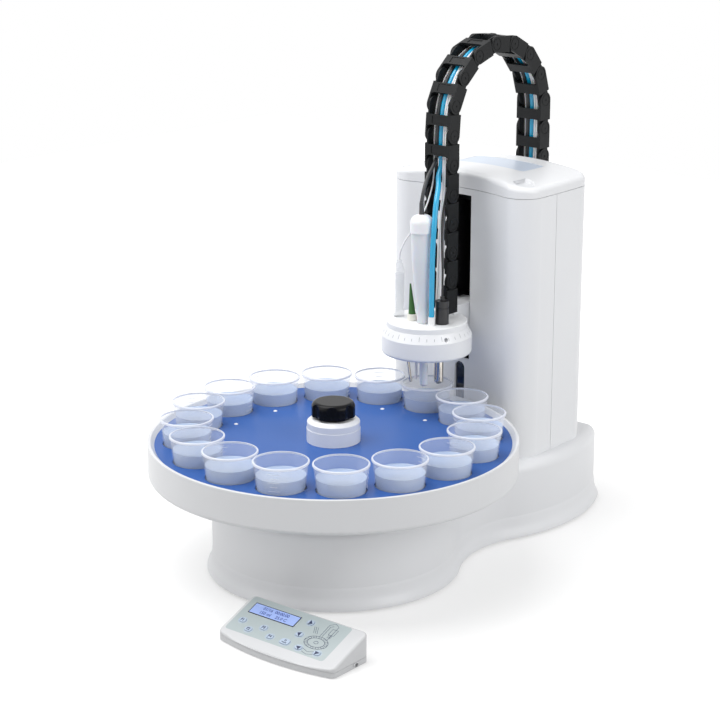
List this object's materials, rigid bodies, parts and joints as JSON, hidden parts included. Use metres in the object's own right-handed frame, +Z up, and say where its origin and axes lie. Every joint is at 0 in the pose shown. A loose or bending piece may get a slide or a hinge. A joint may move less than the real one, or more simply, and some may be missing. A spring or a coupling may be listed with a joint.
{
  "type": "autosampler",
  "caption": "Titration autosampler: white base and lift tower, blue turntable of clear sample cups, probe head on a lifting arm, cable chain and hand keypad",
  "frame": {"origin": "on the table, on the turntable's axis, at the base's centre foot", "axes": "+Z up along the turntable's axis, -Y to the user and the keypad, +Y to the lift tower, +X to the user's right"},
  "size_m": [0.44, 0.6734, 0.6102],
  "materials": {
    "white_shell": "moulded white ABS, slightly glossy",
    "blue_plate": "glossy mid-blue sheet",
    "clear_cup": "translucent polypropylene, water-clear wall",
    "black_knob": "glossy black moulding",
    "black_chain": "black polyamide, fine matt",
    "black_metal": "black anodised channel",
    "rubber_black": "soft black rubber",
    "steel": "bright drawn stainless steel",
    "zinc": "zinc-plated sheet steel",
    "bronze": "sintered bronze",
    "aluminium": "machined aluminium",
    "glass_clear": "clear glass",
    "white_soft": "white polypropylene, satin",
    "frosted": "translucent white polypropylene",
    "green_plastic": "green moulded plastic",
    "smoke_window": "dark smoked window",
    "circuit": "green circuit board",
    "keypad_print": "pale blue-grey printed film",
    "key_grey": "pale blue-grey keys",
    "lcd_dark": "black display frame",
    "hose_blue": "bright blue hose"
  },
  "bodies": {
    "root": {"base_housing": "white_shell", "base_plate": "zinc", "rubber_feet": "rubber_black", "case_screws": "zinc", "spindle_housing": "aluminium", "spindle_bushes": "bronze", "tray_motor": "black_metal", "drive_belt": "rubber_black", "control_board": "circuit", "rear_sockets": "black_chain", "tower_front_shell": "white_shell", "tower_rear_shell": "white_shell", "tower_lid": "white_shell", "sensor_window": "smoke_window", "lift_column": "black_metal", "guide_rods": "steel", "lift_motor": "black_metal", "chain_fixed_links": "black_chain"},
    "tray_body": {"tray": "white_shell", "tray_plate": "blue_plate", "plate_pins": "white_soft", "tray_hub": "white_shell", "tray_spindle": "steel", "driven_pulley": "aluminium", "sample_beakers": "clear_cup"},
    "knob_body": {"tray_knob": "black_knob"},
    "motor_pulley_body": {"motor_pulley": "aluminium"},
    "lead_screw_body": {"lead_screw": "steel"},
    "lift_body": {"carriage": "aluminium", "carriage_bushes": "bronze", "lift_arm": "white_shell", "head_collar": "white_shell", "head_disc": "white_soft", "electrode_cap": "white_soft", "electrode_shaft": "frosted", "glass_vial": "glass_clear", "green_plug": "green_plastic", "probe_connector": "black_chain", "steel_rods": "steel", "lift_lines": "hose_blue", "chain_lift_links": "black_chain"},
    "rear_link_body": {"chain_rear_link": "black_chain"},
    "arch_body": {"chain_arch_links": "black_chain", "chain_lines": "hose_blue"},
    "upper_link_body": {"chain_upper_link": "black_chain"},
    "front_link_body": {"chain_front_link": "black_chain"},
    "keypad_body": {"keypad_base": "white_shell", "keypad_cover": "white_shell", "keypad_overlay": "keypad_print", "lcd_window": "lcd_dark", "keypad_board": "circuit"},
    "key_f1_body": {"key_f1": "key_grey"},
    "key_f2_body": {"key_f2": "key_grey"},
    "key_f3_body": {"key_f3": "key_grey"},
    "key_f4_body": {"key_f4": "key_grey"},
    "key_pause_body": {"key_pause": "key_grey"},
    "key_up_body": {"key_up": "key_grey"},
    "key_down_body": {"key_down": "key_grey"},
    "key_left_body": {"key_left": "key_grey"},
    "key_right_body": {"key_right": "key_grey"}
  },
  "joints": [
    {"name": "tray_spin", "type": "hinge", "parent": "root", "child": "tray_body", "pos_m": [0, 0, 0.121], "axis": [0, 0, 1], "continuous": true},
    {"name": "knob_turn", "type": "hinge", "parent": "tray_body", "child": "knob_body", "pos_m": [0, 0, 0.1868], "axis": [0, 0, 1], "range_deg": [0, 720]},
    {"name": "motor_pulley_spin", "type": "hinge", "parent": "root", "child": "motor_pulley_body", "pos_m": [-0.08, 0, 0.049], "axis": [0, 0, 1], "continuous": true},
    {"name": "head_lift", "type": "slide", "parent": "root", "child": "lift_body", "axis": [0, 0, 1], "range_m": [-0.03, 0.09]},
    {"name": "lead_screw_turn", "type": "hinge", "parent": "root", "child": "lead_screw_body", "pos_m": [0, 0.292, 0.29], "axis": [0, 0, 1], "continuous": true},
    {"name": "chain_bend_1", "type": "hinge", "parent": "root", "child": "rear_link_body", "pos_m": [0, 0.38125, 0.5194], "axis": [1, 0, 0], "range_deg": [-19.4, 6.8]},
    {"name": "chain_bend_2", "type": "hinge", "parent": "rear_link_body", "child": "arch_body", "pos_m": [0, 0.37012, 0.55364], "axis": [1, 0, 0], "range_deg": [-9.95, 3.65], "deforming": ["chain_lines"]},
    {"name": "chain_bend_9", "type": "hinge", "parent": "arch_body", "child": "upper_link_body", "pos_m": [0, 0.198, 0.49771], "axis": [1, 0, 0], "range_deg": [-9.05, 26.15]},
    {"name": "chain_bend_10", "type": "hinge", "parent": "upper_link_body", "child": "front_link_body", "pos_m": [0, 0.198, 0.46171], "axis": [1, 0, 0], "range_deg": [-1.4, 3.2]},
    {"name": "keypad_lift_off", "type": "slide", "parent": "root", "child": "keypad_body", "axis": [0, 0, 1], "range_m": [0, 0.08]},
    {"name": "press_f1", "type": "slide", "parent": "keypad_body", "child": "key_f1_body", "axis": [-0.0143, 0.3636, -0.9315], "range_m": [0, 0.0005], "stiffness_N_per_m": 900},
    {"name": "press_f2", "type": "slide", "parent": "keypad_body", "child": "key_f2_body", "axis": [-0.0143, 0.3636, -0.9315], "range_m": [0, 0.0005], "stiffness_N_per_m": 900},
    {"name": "press_f3", "type": "slide", "parent": "keypad_body", "child": "key_f3_body", "axis": [-0.0143, 0.3636, -0.9315], "range_m": [0, 0.0005], "stiffness_N_per_m": 900},
    {"name": "press_f4", "type": "slide", "parent": "keypad_body", "child": "key_f4_body", "axis": [-0.0143, 0.3636, -0.9315], "range_m": [0, 0.0005], "stiffness_N_per_m": 900},
    {"name": "press_pause", "type": "slide", "parent": "keypad_body", "child": "key_pause_body", "axis": [-0.0143, 0.3636, -0.9315], "range_m": [0, 0.0005], "stiffness_N_per_m": 900},
    {"name": "press_up", "type": "slide", "parent": "keypad_body", "child": "key_up_body", "axis": [-0.0143, 0.3636, -0.9315], "range_m": [0, 0.0005], "stiffness_N_per_m": 900},
    {"name": "press_down", "type": "slide", "parent": "keypad_body", "child": "key_down_body", "axis": [-0.0143, 0.3636, -0.9315], "range_m": [0, 0.0005], "stiffness_N_per_m": 900},
    {"name": "press_left", "type": "slide", "parent": "keypad_body", "child": "key_left_body", "axis": [-0.0143, 0.3636, -0.9315], "range_m": [0, 0.0005], "stiffness_N_per_m": 900},
    {"name": "press_right", "type": "slide", "parent": "keypad_body", "child": "key_right_body", "axis": [-0.0143, 0.3636, -0.9315], "range_m": [0, 0.0005], "stiffness_N_per_m": 900}
  ],
  "couplings": [
    {"joint": "motor_pulley_spin", "follows": "tray_spin", "ratio": 5},
    {"joint": "lead_screw_turn", "follows": "head_lift", "rad_per_m": 785.4},
    {"joint": "chain_bend_1", "follows": "head_lift", "rad_per_m": -3.6652},
    {"joint": "chain_bend_2", "follows": "head_lift", "rad_per_m": -1.8326},
    {"joint": "chain_bend_9", "follows": "head_lift", "rad_per_m": 4.9742},
    {"joint": "chain_bend_10", "follows": "head_lift", "rad_per_m": 0.5236}
  ]
}
